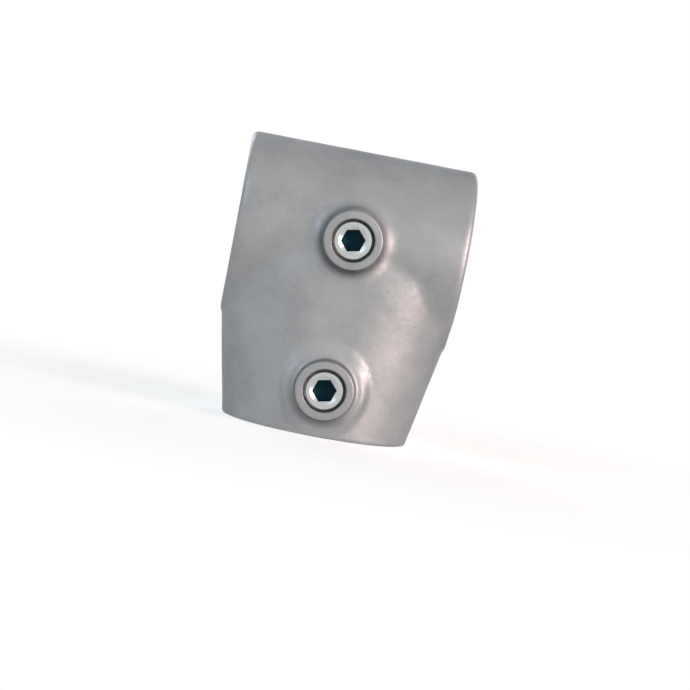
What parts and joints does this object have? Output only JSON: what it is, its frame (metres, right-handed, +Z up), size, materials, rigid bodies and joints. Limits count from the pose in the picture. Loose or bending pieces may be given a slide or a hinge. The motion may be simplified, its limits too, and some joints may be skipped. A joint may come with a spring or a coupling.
{
  "type": "tube clamp tee fitting",
  "caption": "Slope tee for round tube: a bored sleeve for a rail over a fan-shaped socket for a leaning post, each clamped by a hex-socket set screw in a raised boss.",
  "frame": {"origin": "on the axis of the rail's bore, at the middle of the sleeve's length, where the socket's middle line meets it", "axes": "+X along the rail's bore, +Z up from the socket's mouth to the sleeve, -Y out of the front, where the set screws are"},
  "size_m": [0.0764, 0.0656, 0.0943],
  "materials": {
    "galvanised_iron": "hot-dip galvanised malleable iron, dull grey with a soft sheen",
    "plated_steel": "zinc plated, turned"
  },
  "bodies": {
    "casting": {"cast_body": "galvanised_iron"},
    "rail_screw": {"rail_set_screw": "plated_steel"},
    "post_screw": {"post_set_screw": "plated_steel"}
  },
  "joints": [
    {"name": "rail_screw_travel", "type": "slide", "parent": "casting", "child": "rail_screw", "axis": [0, 1, 0], "range_m": [-0.005, 0.002]},
    {"name": "post_screw_travel", "type": "slide", "parent": "casting", "child": "post_screw", "axis": [0, 1, 0], "range_m": [-0.005, 0.003]}
  ]
}
